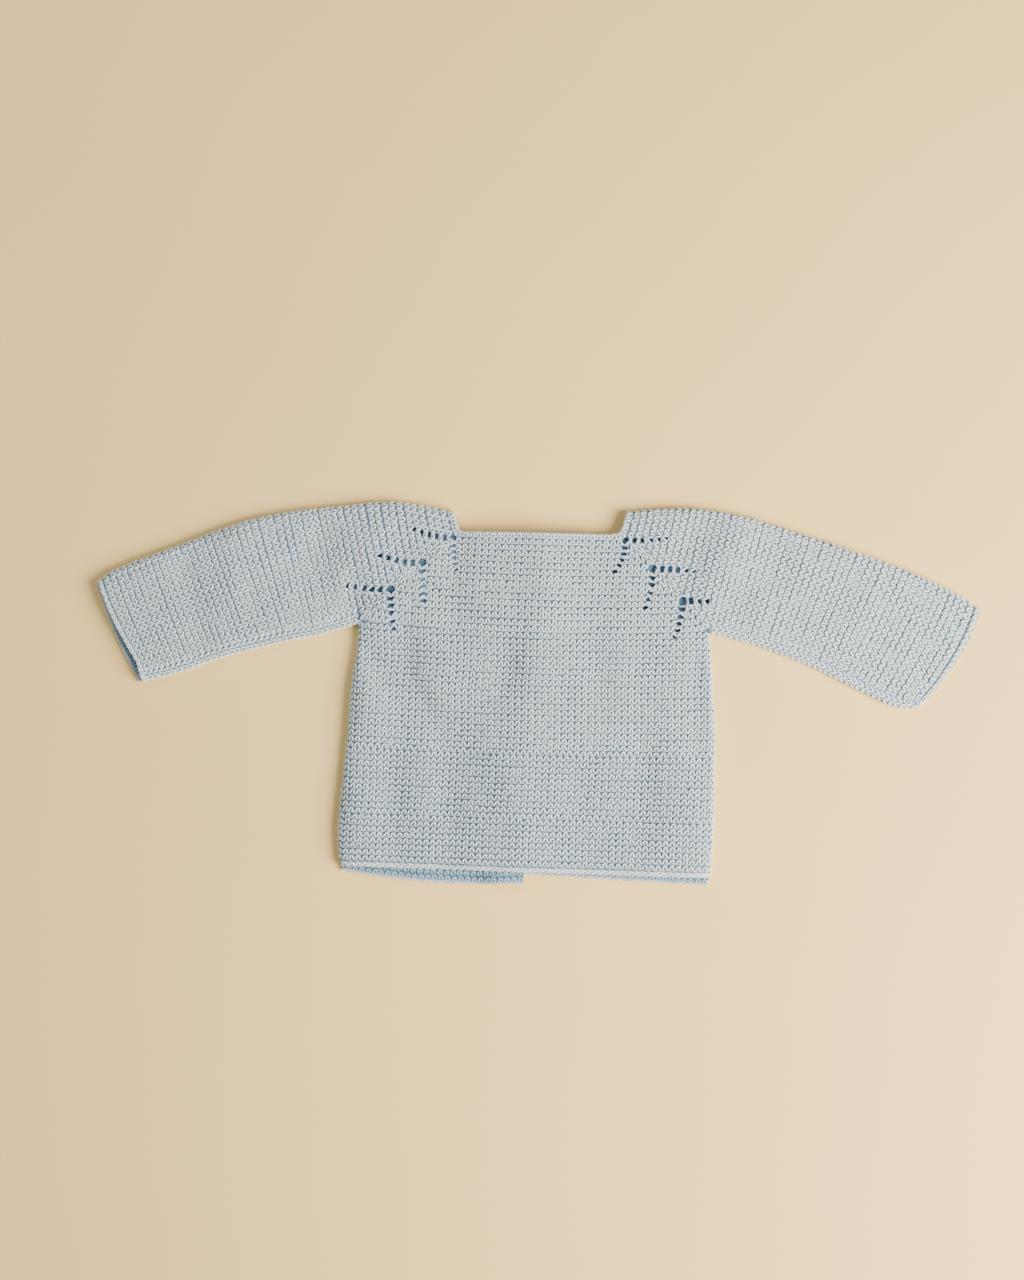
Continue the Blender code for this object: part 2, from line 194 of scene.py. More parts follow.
# Eyelets: three motifs down each raglan, each a corner hole on the seam with one arm of holes out
# along the sleeve and one down the front, in millimetres
Motif = namedtuple("Motif", "share width height reach rise lean drop arm")
MOTIFS = {
    "right": [
        Motif(0.065, 2.7, 2.5, -22.5, 4.7, 1.9, -19.1, 5),
        Motif(0.363, 3.7, 3.1, -25.2, 4.7, 1.1, -22.2, 5),
        Motif(0.672, 3.6, 3.2, -25.8, 2.6, 2.0, -23.1, 5),
    ],
    "left": [
        Motif(0.060, 2.6, 2.6, 24.5, 1.5, -6.4, -18.8, 5),
        Motif(0.357, 3.7, 3.7, 25.1, -1.4, -4.0, -22.6, 5),
        Motif(0.688, 3.5, 4.2, 24.0, -0.8, -4.5, -21.9, 3),
    ],
}
ARM_HOLES = 5  # down the front; along the sleeve a motif has its own number
FIRST_HOLE = 0.237  # how far out an arm's first hole is, as a share of its reach
# The first and last hole of an arm, along and across its ridge
Slit = namedtuple("Slit", "long short last_long last_short")
FRONT_SLIT = Slit(2.8, 1.6, 1.8, 1.1)
SLEEVE_SLIT = Slit(2.2, 2.4, 1.4, 1.3)
WIDE_MOTIF = 3.7  # the corner hole beside which a motif's slits have those sizes
ARM_HOLE_SLANT = 0.32  # of the arms down the front, up towards the middle
SLEEVE_HOLE_SLANT = {"right": -0.8, "left": 0.0}
CLEAR_ALONG = 0.75 * MM  # from a hole's edge to the middle of the yarn round it
CLEAR_ACROSS = 0.55 * MM
HOLE_REACH = 3.2 * MM  # how far from a hole the yarn is drawn aside
HOLE_SEARCH = 3 * HOLE_REACH
HOLE_FADE = 0.7  # how far past a hole's end it is drawn aside, as a share of its half length

# How finely a ridge's line is followed, and how it goes round a fold, from the under side up
WRAP_TURNS = np.radians(np.linspace(-75, 75, 11))
FOLD_INDEX = 5  # the turn of 0, where the cloth folds
FRONT_SAMPLES = 96
SLEEVE_SAMPLES = 48
HALF_SAMPLES = 24
CORNER_REACH = 6.5 * MM  # how softly a ridge turns where it crosses the raglan
CORNER_SHARE = 0.22  # the most of the sleeve's part of a ridge that this takes
CORNER_NEAR = 2.2  # how many reaches to either side the line is changed
ANCHORED = 5  # stitches next to the raglan that give way so that the others line up
PAST_FOLD = 20  # more stitches than a ridge has past its shoulder fold
COLUMN_STEPS = 4000  # how finely the next ridge is searched for its column
SEAM_UP = 7.0 * MM  # how far above the fold under the arm the sleeve's own seam lies
SEAM_DIP = 0.7 * MM
SEAM_WIDTH = 1.6 * MM

# A loop's head or foot, in shares of a stitch and of a ridge: where in the stitch it starts, its
# points, how far up the ridge its middle lies and how far it swings, how far it rises at its
# middle, above it and below it, and how pale it is there and how much more at its crown. That
# paleness is painted light and shade: the feet are painted dark as shade under the heads, and
# the crowns get a painted highlight
Loop = namedtuple("Loop", "phase points up swing level above below tone crown")
HEAD = Loop(0.0, 7, 0.06, 0.35, 0.6, 0.4, 0.9, 0.62, 0.38)
FOOT = Loop(0.5, 5, -0.30, -0.07, 0.5, 0.5, 1.5, 0.12, 0.06)
LEG_BULGE = 0.065
MOST_STITCHES = 80  # more than a ridge has to either side of its anchor

# How uneven the stitches are: along the ridge, across it, slowly across it, in height and in tone
SHIFT = 0.14
DRIFT = 0.13
SWAY = 0.09
SWAY_KNOTS = 60
SWAY_REACH = 14.0 * MM
BOB = 0.2 * MM
BLOTCH = 0.12

# Each knitted piece: its seed, the tone of its yarn and how strongly its furrows are painted dark.
# Both are painted shade: a tone under 1 darkens the lower layers, the back's hem and the cuffs, as
# shade
Knit = namedtuple("Knit", "seed tone furrows")
KNITS = {
    "yoke": Knit(1, 1.0, 0.8),
    "body_top": Knit(2, 1.0, 0.98),
    "body_foot": Knit(3, 1.0, 1.12),
    "sleeve_right": Knit(4, 1.0, 0.66),
    "sleeve_left": Knit(5, 1.0, 0.66),
    "back_hem": Knit(8, 0.42, 1.0),
    "cuff": Knit(9, 0.35, 1.0),
}

FUZZ_SEED = 6
FIBRE = 0.07 * MM
FIBRE_LENGTH = (0.9 * MM, 2.0 * MM)
FIBRE_LEAN = 0.7  # out of the cloth, beside a step to any side
FIBRE_BEND = 0.2

# Braided edges: the ridge that each lies on, half its band, its strands' swing and their tone,
# lower on the lower layers as painted shade
Edge = namedtuple("Edge", "ridge half reach tone")
HEM_EDGE = Edge(HEM_RIDGE - 0.48, 0.4, 1.05 * MM, 1.0)
NECK_EDGE = Edge(0.12, 0.3, 0.25 * MM, 0.9)
CUFF_EDGE = Edge(0.48, -0.4, 0.85 * MM, 0.9)
BACK_HEM_EDGE = Edge(HEM_RIDGE - 0.12, 0.3, 0.35 * MM, 0.75)
UNDER_CUFF_EDGE = Edge(0.15, -0.3, 0.35 * MM, 0.7)
BRAID_SEED = 7
BRAID = (0, 1 / 3, 2 / 3)
BRAID_POINTS = 6
BRAID_RISE = -0.1 * MM
BRAID_LIFT = 0.45  # how far the strands cross over and under, as a share of their swing
BRAID_SLIP = 0.25  # how uneven the strands are: along the edge, and in swing and in tone
BRAID_UNEVEN = 0.10
# Painted light and shade: a strand's base tone, and how much paler it is where it crosses over
BRAID_SHADING = (0.70, 0.30)

# Shells under the loops
SHELL = 1.2 * MM
SUNK = 0.55 * MM  # how far the upper ones lie under the face that the loops follow
BACK_SHELL = 2.4 * MM
UNDER_SHELL = 2.1 * MM
REST = 0.1 * MM  # the least height over the floor
RAISED = 2.3 * MM  # how far the lower ones rise to the upper ones along the raglans
RAISED_REACH = 34.0 * MM
RAISED_TO = 0.8  # of the raglan, from the neck
BACK_FACE = 2.1 * MM  # how high the loops on the lower ones lie
UNDER_FACE = 1.9 * MM
SHARP = math.radians(50)
PRISM = {"segments": 12, "radius1": 1, "radius2": 1, "depth": 30 * MM}
PRISM_MIDDLE = 18 * MM
PRISM_SPARE = 0.2 * MM

# Surfaces: what isn't left at its default, and each noise's scale and detail
YARN_SURFACE = {
    "Roughness": 0.9,
    "Specular IOR Level": 0.2,
    "Sheen Weight": 0.35,
    "Sheen Roughness": 0.6,
    "Sheen Tint": (0.9, 0.95, 1.0, 1.0),
    "Subsurface Weight": 0.5,
    "Subsurface Radius": (0.8, 1.0, 1.2),
    "Subsurface Scale": 1.5 * MM,
}
SHELL_SURFACE = {"Roughness": 0.95, "Specular IOR Level": 0.15}
FLOOR_SURFACE = {"Roughness": 0.8}
PATCHES = (900.0, 2.0)
HAIRS = (3200.0, 2.0)
TUFTS = (1500.0, 3.0)
CLOUDS = (7.0, 4.0)
PATCH_SHADE = 0.5
TUFT_HEIGHT = 0.35
FLOOR_SHADE = 0.94
MIX_INPUTS = (0, 6, 7)  # a Mix node's factor and two colours, and the colour that it gives
MIX_OUTPUT = 2

# Stage, in metres, and the photograph's frame, in pixels
FLOOR_SIZE = 3.0
LAMP_COLOUR = (1.0, 0.90, 0.78)
KEY_SPOT = (0.93, -0.36, 0.77)
KEY_SIZE = 0.95
FILL_SPOT = (-0.7, 0.8, 1.0)
FILL_SIZE = 1.0
WORLD_COLOUR = (0.62, 0.82, 1.0, 1)
WORLD_STRENGTH = 0.31
SENSOR = 36.0
LENS = 85.0
PHOTO = (1024, 1280)
ORIGIN = (538, 694)  # the pixel over the frame's origin
PIXEL = 0.6  # millimetres that it spans at the height of the cloth's face
FACE_HEIGHT = 3 * MM

# The cut of each shell that shows, laid flat, in metres: half the surface of a nearly closed one
Cut = namedtuple("Cut", "width length area")

Row = namedtuple("Row", "start end roll_start roll_end bow pull")
Band = namedtuple("Band", "before line after")
Course = namedtuple("Course", "band warp ends seam")


# ---- shape of the cloth


def smooth(value):
    value = np.clip(value, 0.0, 1.0)
    return value * value * (3 - 2 * value)


def read(table, at):
    """A table's values at a place in its first column, on a smooth curve through its rows."""
    keys = [row[0] for row in table]
    values = [np.array(row[1:]) for row in table]
    last = len(keys) - 1
    low = max(n for n in range(last) if keys[n] <= at or n == 0)

    def slope(n):
        before, after = max(n - 1, 0), min(n + 1, last)
        return (values[after] - values[before]) / (keys[after] - keys[before])

    width = keys[low + 1] - keys[low]
    t = (at - keys[low]) / width
    start = values[low] * (1 + 2 * t) * (1 - t) ** 2 + slope(low) * width * t * (1 - t) ** 2
    end = values[low + 1] * (3 - 2 * t) * t**2 + slope(low + 1) * width * (t - 1) * t**2
    return start + end


def raglan(side, share):
    """A point of the raglan seam in plan, from the neck (0) to the armpit (1)."""
    neck, armpit = np.array(NECK_CORNER[side]), np.array(ARMPIT[side])
    along = armpit - neck
    to_sleeve = np.array((-along[1], along[0])) / np.linalg.norm(along) * SIGN[side]
    bow = RAGLAN_BOW[side] * share**2 * (1 - share)
    return (neck + along * share + to_sleeve * bow) * MM


def body_edge(side, ridge, hem_y):
    if ridge <= YOKE_RIDGES:
        return raglan(side, ridge / YOKE_RIDGES)
    share = (ridge - YOKE_RIDGES) / BODY_RIDGES
    y = ARMPIT[side][1] + (hem_y[side] - ARMPIT[side][1]) * share
    return np.array((dict(zip(SIGN, read(SIDES, share)))[side], y)) * MM


def roll(past_armpit):
    """How round an edge is so many ridges past the armpit: a seam at 0, a fold further on."""
    return SEAM_ROLL + (1 - SEAM_ROLL) * float(smooth(past_armpit / ROLL_RIDGES))


def front_row(ridge):
    if ridge <= YOKE_RIDGES:
        sag = smooth(ridge / YOKE_RIDGES)
    else:
        sag = 1 - smooth((ridge - YOKE_RIDGES) / BODY_RIDGES)
    ends = [body_edge(side, ridge, FRONT_HEM_Y) for side in SIGN]
    rolls = roll(ridge - YOKE_RIDGES)
    return Row(*ends, rolls, rolls, np.array((0, -FRONT_SAG * MM * sag)), np.zeros(2))


def sleeve_row(side, ridge, upper=True):
    """A row of half a sleeve, from the shoulder fold to the underarm fold or the raglan."""
    top = read(SHOULDER[side], ridge) * MM
    if ridge <= SLEEVE_RIDGES:
        low = read(UNDERARM[side], ridge) * MM
    else:
        low = raglan(side, (TOP_RIDGE - ridge) / YOKE_RIDGES)
    down = (low - top) / np.linalg.norm(low - top)
    outward = np.array((-down[1], down[0])) * SIGN[side]
    bow = CUFF_BOW[side] * max(1 - ridge / CUFF_BOW_RIDGES, 0) ** 2 * MM
    gape = CUFF_GAPE[side] * max(1 - ridge / CUFF_GAPE_RIDGES, 0) ** 2 * MM if upper else 0.0
    return Row(top, low, 1.0, roll(SLEEVE_RIDGES - ridge), outward * bow, -outward * gape)


def half_end_x(side, y):
    at_neck, at_hem = HALF_END_X[side]
    down = (BACK_NECK_Y * MM - y) / ((BACK_NECK_Y - HALF_HEM_Y[side]) * MM)
    return (at_neck + (at_hem - at_neck) * down) * MM


def back_row(side, ridge):
    """A row of a back half, from the side of the body to the centre back."""
    outer = body_edge(side, ridge, BACK_HEM_Y)
    y = (BACK_NECK_Y + (HALF_HEM_Y[side] - BACK_NECK_Y) * ridge / HEM_RIDGE) * MM
    middle = np.array((half_end_x(side, y), y))
    droop = BACK_HEM_BOW[side] * (ridge / HEM_RIDGE) ** 4 * MM
    return Row(outer, middle, roll(ridge - YOKE_RIDGES), 0.0, np.array((0, -droop)), np.zeros(2))


def overlap_rise(x, y):
    """How far the front rises over the overlapping back halves, from 0 to 1, in one soft crest."""
    aside = x - half_end_x("right", y) + CREST_IN * MM
    flank = np.where(aside < 0, CREST_FLANK["right"], CREST_FLANK["left"]) * MM
    left = 1 - (np.hypot(aside, CREST_TIP * MM) - CREST_TIP * MM) / flank
    return 0.5 * (left + np.sqrt(left**2 + CREST_FADE))


def fold_rise(x, y):
    total = np.zeros_like(x)
    for middle_x, middle_y, degrees, length, width, rise in FOLDS:
        turn = math.radians(degrees)
        dx, dy = x / MM - middle_x, y / MM - middle_y
        along = (dx * math.cos(turn) + dy * math.sin(turn)) / length
        aside = (dy * math.cos(turn) - dx * math.sin(turn)) / width
        total += rise * np.exp(-(along**2) - aside**2)
    return (FOLD_MIDDLE + FOLD_REACH * np.tanh((total - FOLD_MIDDLE) / FOLD_REACH)) * MM


def upper_face(x, y, fade):
    lift = (WALL + GAP) * overlap_rise(x, y)
    return WALL + GAP + WALL + fade * (PUFF + fold_rise(x, y)) + lift


def place(row, u):
    """Points in plan on a row, from its start (0) to its end (1)."""
    u = np.asarray(u)[:, None]
    pulled = np.interp(u, CUFF_GAPE_AT, CUFF_GAPE_SHARE)
    return row.start + (row.end - row.start) * u + row.bow * (4 * u * (1 - u)) + row.pull * pulled


def over_row(row, samples, wrap_start, wrap_end):
    """Points over the upper face along a row, and round its folds to the under side."""
    length = np.linalg.norm(row.end - row.start)
    first = row.roll_start * WALL / length if wrap_start else 0.0
    last = 1 - (row.roll_end * WALL / length if wrap_end else 0.0)
    flat = np.linspace(first, last, samples)

    def fade(u):
        at_start = 1 - row.roll_start * (1 - smooth(u * length / FADE))
        at_end = 1 - row.roll_end * (1 - smooth((1 - u) * length / FADE))
        return at_start * at_end

    def points(u, turn, rolled):
        plan = place(row, u)
        high = upper_face(plan[:, 0], plan[:, 1], fade(u))
        middle = WALL + GAP / 2
        climb = rolled * np.sin(turn) + (1 - rolled) * turn / (math.pi / 2)
        z = np.where(turn >= 0, middle + (high - middle) * climb, middle * (1 + climb))
        return np.column_stack((plan, z))

    parts = [points(flat, np.full(samples, math.pi / 2), 1.0)]
    turned = (1 - np.cos(WRAP_TURNS)) * WALL / length
    if wrap_start:
        parts.insert(0, points(row.roll_start * turned, WRAP_TURNS, row.roll_start))
    if wrap_end:
        wrap = points(1 - row.roll_end * turned, WRAP_TURNS, row.roll_end)
        parts.append(wrap[::-1])
    return np.concatenate(parts)


def distances(points):
    """How far along a line each of its points lies."""
    steps = np.linalg.norm(np.diff(points, axis=0), axis=1)
    return np.concatenate(([0.0], np.cumsum(steps)))


def ease_corner(points, corner, reach):
    """A line with its corner at one point rounded over a reach."""
    along = distances(points)
    apart = (along[:, None] - along[None, :]) / reach
    weight = np.exp(-(apart**2)) * np.gradient(along)[None, :]
    rounded = weight @ points / weight.sum(1)[:, None]
    near = np.exp(-(((along - along[corner]) / (CORNER_NEAR * reach)) ** 4))[:, None]
    return points * (1 - near) + rounded * near


def yoke_line(ridge):
    """A ridge of the yoke, from one shoulder fold over the front to the other."""
    on_sleeve = TOP_RIDGE - ridge
    right = over_row(sleeve_row("right", on_sleeve), SLEEVE_SAMPLES, True, False)
    left = over_row(sleeve_row("left", on_sleeve), SLEEVE_SAMPLES, True, False)[::-1]
    front = over_row(front_row(ridge), FRONT_SAMPLES, False, False)
    line = np.concatenate((right, front[1:-1], left))
    corners = (len(right) - 1, len(right) + FRONT_SAMPLES - 2)
    for corner, part in zip(corners, (right, left)):
        reach = min(CORNER_REACH, CORNER_SHARE * distances(part)[-1])
        line = ease_corner(line, corner, reach)
    return line


def body_line(ridge):
    return over_row(front_row(ridge), FRONT_SAMPLES, True, True)


def sleeve_line(side, ridge):
    """A ridge of a sleeve, so that +X or the hem is on the same hand as in the yoke."""
    line = over_row(sleeve_row(side, ridge), SLEEVE_SAMPLES, True, True)
    return line if side == "right" else line[::-1]


def lower_line(row, samples, height, lapped=False):
    """Points on a row of a lower layer, at a height that rises along the raglans and at a lap."""
    plan = place(row, np.linspace(0, 1, samples))
    if lapped:
        past_end = plan[:, 0] - half_end_x("left", plan[:, 1]) + OVERLAP_MARGIN * MM
        height = height + (WALL + GAP) * np.clip(past_end / (LAP_FOOT * MM) + 1, 0, 1)
    return np.column_stack((plan, height + raised(plan)))


def raised(plan):
    """How far a lower layer rises to the upper one along the raglans."""
    rise = np.zeros(len(plan))
    for side in SIGN:
        neck, armpit = raglan(side, 0.0), raglan(side, RAISED_TO)
        along = armpit - neck
        share = np.clip((plan - neck) @ along / (along @ along), 0, 1)
        apart = np.linalg.norm(plan - neck - share[:, None] * along, axis=1)
        rise += RAISED * np.exp(-((apart / RAISED_REACH) ** 4))
    return rise


def back_line(side, ridge):
    """A ridge of a back half on its inner face, from the side of the body to the centre back."""
    row = back_row(side, ridge)
    line = lower_line(row, HALF_SAMPLES * 3, BACK_FACE, lapped=side == "right")
    return line if side == "right" else line[::-1]


def under_line(side, ridge):
    """A ridge of a sleeve's lower layer on its inner face."""
    line = lower_line(sleeve_row(side, ridge, upper=False), HALF_SAMPLES, UNDER_FACE)
    return line if side == "right" else line[::-1]


def banded(line_at, ridge, half):
    """A ridge's line between those half a band before and after it, with its outward face up."""
    return Band(line_at(ridge - half), line_at(ridge), line_at(ridge + half))


# ---- yarn


def frames(band):
    """Along, down and out of the cloth at each point of a ridge, and the ridge's width there."""
    along = np.gradient(band.line, axis=0)
    along /= np.linalg.norm(along, axis=1)[:, None]
    down = band.after - band.before
    down = down - (down * along).sum(1)[:, None] * along
    width = np.linalg.norm(down, axis=1)
    down /= width[:, None]
    out = np.cross(down, along)
    return along, down, out, width


def at_distance(along, values, wanted):
    if values.ndim == 1:
        return np.interp(wanted, along, values)
    return np.column_stack([np.interp(wanted, along, values[:, n]) for n in range(values.shape[1])])


def loops(course, kind, settings, rng, sway):
    """The heads or the feet of one course: their line, tones (painted shade and highlight, with a
    little random tone), distances and outward directions.
    """
    turns = np.arange(-MOST_STITCHES * kind.points, MOST_STITCHES * kind.points + 1) / kind.points
    spots = course.warp(turns + kind.phase)
    turns = turns[(spots >= course.ends[0]) & (spots <= course.ends[1])]
    swing = np.cos(2 * math.pi * turns)
    crown = (1 + swing) / 2
    stitch = np.round(turns - turns[0]).astype(int)
    jitter = settings.unevenness * rng.standard_normal((3, stitch[-1] + 2))
    shift, drift, bob = jitter[:, stitch]
    where = turns + kind.phase + LEG_BULGE * np.sin(4 * math.pi * turns) + SHIFT * shift * crown
    along = distances(course.band.line)
    wanted = course.warp(where)
    spot = at_distance(along, course.band.line, wanted)
    across, down, out, width = (
        at_distance(along, values, wanted) for values in frames(course.band)
    )
    swayed = np.interp(wanted / SWAY_REACH, np.arange(SWAY_KNOTS), sway)
    uneven = DRIFT * drift * crown + SWAY * settings.unevenness * swayed
    up = kind.up + kind.swing * swing + uneven
    rise = kind.level + np.where(swing > 0, kind.above, kind.below) * swing
    rise = (settings.head_rise if kind is HEAD else settings.foot_rise) * rise
    rise = rise - settings.roundness * (2 * up) ** 2 + BOB * bob * crown
    if course.seam is not None:
        rise = rise - SEAM_DIP * np.exp(-(((wanted - course.seam) / SEAM_WIDTH) ** 2))
    aside = -up * width + drawn_aside(spot, across, down, -up * width)
    line = spot + down * aside[:, None] + out * rise[:, None]
    np.maximum(line[:, 2], settings.thickness / 2 + REST, out=line[:, 2])
    # Tone: painted shade low on each loop, a painted highlight at its crown, and random tone by
    # stitch
    return line, np.clip(kind.tone + kind.crown * crown + BLOTCH * bob, 0, 1), wanted, out


def drawn_aside(spots, across, down, offset):
    """How much further down a strand runs at each point to leave the eyelets clear."""
    moved = np.zeros(len(spots))
    mean = offset.mean()
    for x, y, half_long, half_short, slant in EYELETS:
        dx, dy = x - spots[:, 0], y - spots[:, 1]
        near = (np.hypot(dx, dy) < HOLE_SEARCH) & (spots[:, 2] > WALL)
        if not near.any():
            continue
        a = (dx * across[:, 0] + dy * across[:, 1])[near]
        b = offset[near] - (dx * down[:, 0] + dy * down[:, 1])[near] - slant * a
        nearest = np.argmin(np.abs(a))
        side = 1.0 if b[nearest] - offset[near][nearest] + mean > 0 else -1.0
        edge = half_short * np.cbrt(np.clip(1 - np.abs(a / half_long) ** 3, 0, 1))
        reach = half_short + HOLE_REACH
        new = edge + (reach - edge) * np.clip(side * b / reach, 0, 1)
        new = np.where(side * b < reach, side * new, b)
        past_end = (1 + HOLE_FADE) * half_long - np.abs(a)
        moved[near] += (new - b) * smooth(past_end / (HOLE_FADE * half_long))
    return moved


def even_warp(anchor, stitch_width):
    """Stitches a fixed width apart, counted from an anchor."""
    return lambda where: anchor + where * stitch_width


def yoke_warp(along, folds, corners, stitch_width):
    """Stitches counted from the middle of the front, and lined up with each shoulder fold."""
    middle = (along[corners[0]] + along[corners[1]]) / 2
    knots = [(0.0, middle)]
    for sign, corner, fold in ((-1, corners[0], folds[0]), (1, corners[1], folds[1])):
        half = abs(along[corner] - middle)
        sleeve = abs(along[fold] - along[corner])
        on_front, on_sleeve = round(half / stitch_width), round(sleeve / stitch_width)
        give = min(ANCHORED, on_front - 1, max(on_sleeve - 1, 0))
        kept = on_front - give
        total = on_front + on_sleeve
        marks = [
            (kept, middle + sign * kept * stitch_width),
            (total - on_sleeve + give, along[fold] - sign * (on_sleeve - give) * stitch_width),
            (total, along[fold]),
            (total + PAST_FOLD, along[fold] + sign * PAST_FOLD * stitch_width),
        ]
        knots += [(sign * where, spot) for where, spot in marks]
    knots.sort()
    wheres, spots = zip(*knots)
    return lambda where: np.interp(where, wheres, spots)


def slit(sizes, along, size):
    """Half lengths of a hole so far along its arm, along and across the ridge."""
    half_long = (sizes.long + (sizes.last_long - sizes.long) * along) / 2
    half_short = (sizes.short + (sizes.last_short - sizes.short) * along) / 2
    return size * half_long * MM, size * half_short * MM


def eyelets():
    """Every eyelet's centre, half lengths along and across its ridge, and slant."""
    holes = []
    for side, motifs in MOTIFS.items():
        for motif in motifs:
            corner = raglan(side, motif.share)
            slant = -ARM_HOLE_SLANT * SIGN[side]
            size = motif.width / WIDE_MOTIF
            holes.append((*corner, motif.width / 2 * MM, motif.height / 2 * MM, 0.0))
            for n in range(ARM_HOLES):
                along = n / (ARM_HOLES - 1)
                part = FIRST_HOLE + (1 - FIRST_HOLE) * along
                out = corner + np.array((motif.reach * part, motif.rise * part**2)) * MM
                down = corner + np.array((motif.lean * part**2, motif.drop * part)) * MM
                if n < motif.arm:
                    holes.append((*out, *slit(SLEEVE_SLIT, along, size), SLEEVE_HOLE_SLANT[side]))
                holes.append((*down, *slit(FRONT_SLIT, along, size), slant))
    return [(x, y, a + CLEAR_ALONG, b + CLEAR_ACROSS, slant) for x, y, a, b, slant in holes]


EYELETS = eyelets()


def add_object(name, data):
    made = bpy.data.objects.new(name, data)
    bpy.context.scene.collection.objects.link(made)
    return made


def spun(name, strands, thickness, rounds, settings):
    """A mesh of yarn that follows strands, each a line of points with its depth (its painted light
    and shade) and its lengths.
    """
    curve = bpy.data.curves.new(name, "CURVE")
    curve.dimensions = "3D"
    curve.bevel_depth = thickness / 2
    curve.bevel_resolution = rounds
    for line, *_ in strands:
        spline = curve.splines.new("POLY")
        spline.points.add(len(line) - 1)
        spline.points.foreach_set("co", np.column_stack((line, np.ones(len(line)))).ravel())
    rope = add_object(name + "_curve", curve)
    graph = bpy.context.evaluated_depsgraph_get()
    mesh = bpy.data.meshes.new_from_object(rope.evaluated_get(graph))
    bpy.data.objects.remove(rope)
    sides = 4 + 2 * rounds  # of the round that the curve's bevel makes
    # The depth attribute carries the painted shade and highlight that the yarn's colour follows
    for label, column in (("depth", 1), ("along", 2)):
        values = np.concatenate([np.repeat(strand[column], sides) for strand in strands])
        layer = mesh.attributes.new(label, "FLOAT", "POINT")
        layer.data.foreach_set("value", values.astype(np.float32))
    mesh.shade_smooth()
    mesh.materials.clear()
    mesh.materials.append(yarn_material(settings))
    piece = add_object(name, mesh)
    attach(piece, "root")
    return piece


def knit(name, courses, settings):
    """Heads and feet of every loop along some courses, as one piece for each."""
    look = KNITS[name]
    rng = np.random.default_rng(look.seed)
    heads, feet = [], []
    for course in courses:
        sway = rng.standard_normal(SWAY_KNOTS)
        for kind, strands in ((HEAD, heads), (FOOT, feet)):
            line, tone, wanted, out = loops(course, kind, settings, rng, sway)
            # Painted shade: darker in the furrows and feet, and over the whole of a lower layer
            depth = look.tone * np.maximum(1 - look.furrows * (1 - tone), 0)
            strands.append((line, depth, wanted, out))
    spun(name + "_heads", heads, settings.thickness, 1, settings)
    spun(name + "_feet", feet, settings.thickness, 0, settings)
    return heads


def fuzz(name, strands, settings):
    """Short loose fibres that stand off the heads of the loops."""
    rng = np.random.default_rng(FUZZ_SEED)
    sizes = np.array([len(line) for line, *_ in strands])
    fibres = []
    for which in rng.choice(len(strands), settings.fibres, p=sizes / sizes.sum()):
        line, _, _, out = strands[which]
        spot = rng.integers(len(line))
        lean = FIBRE_LEAN * out[spot] + rng.standard_normal(3)
        lean /= np.linalg.norm(lean)
        steps = np.array((np.zeros(3), lean / 2, lean + FIBRE_BEND * rng.standard_normal(3)))
        root = line[spot] + out[spot] * settings.thickness / 3
        points = root + rng.uniform(*FIBRE_LENGTH) * steps
        np.maximum(points[:, 2], REST, out=points[:, 2])
        fibres.append((points, np.ones(len(points)), np.zeros(len(points))))
    spun(name, fibres, FIBRE, 0, settings)


def body_courses(first, last, settings):
    for number in range(first, last):
        band = banded(body_line, number + 0.5, 0.5)
        along = distances(band.line)
        middle = along[np.argmin(np.abs(band.line[:, 0]))]
        yield Course(band, even_warp(middle, settings.stitch), (0.0, along[-1]), None)


def yoke_courses(settings):
    wraps = len(WRAP_TURNS)
    corners = (wraps + SLEEVE_SAMPLES - 1, wraps + SLEEVE_SAMPLES + FRONT_SAMPLES - 2)
    for number in range(YOKE_RIDGES):
        band = banded(yoke_line, number + 0.5, 0.5)
        along = distances(band.line)
        folds = (FOLD_INDEX, len(along) - 1 - FOLD_INDEX)
        warp = yoke_warp(along, folds, corners, settings.stitch)
        yield Course(band, warp, (0.0, along[-1]), None)


def sleeve_columns(side, stitch):
    """Where one column of stitches crosses each ridge of a sleeve, square to the ridges."""
    spot, crossings = None, []
    for number in reversed(range(SLEEVE_RIDGES)):
        line = sleeve_line(side, number + 0.5)
        along = distances(line)
        fine = np.linspace(0, along[-1], COLUMN_STEPS)
        if spot is None:
            top = along[FOLD_INDEX] if side == "right" else along[-1 - FOLD_INDEX]
            where = top + round((along[-1] / 2 - top) / stitch) * stitch
        else:
            apart = np.linalg.norm(at_distance(along, line, fine) - spot, axis=1)
            where = fine[np.argmin(apart)]
        spot = at_distance(along, line, np.array([where]))[0]
        crossings.append(where)
    return crossings[::-1]


def sleeve_courses(side, settings):
    """The ridges of a sleeve down to its seam, and past it those of its other edge."""
    columns = sleeve_columns(side, settings.stitch)
    for number in range(SLEEVE_RIDGES):
        for past, ridge in ((False, number + 0.5), (True, number + 1.0)):
            if ridge < 1 or (past and ridge > SLEEVE_RIDGES - 1):
                continue
            band = banded(partial(sleeve_line, side), ridge, -0.5)
            along = distances(band.line)
            folds = (along[FOLD_INDEX], along[-1 - FOLD_INDEX])
            seam = folds[1] - SEAM_UP if side == "right" else folds[0] + SEAM_UP
            ends = (0.0, seam) if past != (side == "right") else (seam, along[-1])
            warp = even_warp(seam if past else columns[number], settings.stitch)
            yield Course(band, warp, ends, seam)


def lower_courses(line_at, ridges, half, settings):
    """The ridges of a lower layer that show, on both sides of the garment."""
    for side in SIGN:
        for ridge in ridges:
            band = banded(partial(line_at, side), ridge, half)
            ends = (0.0, distances(band.line)[-1])
            yield Course(band, even_warp(0.0, settings.stitch), ends, None)


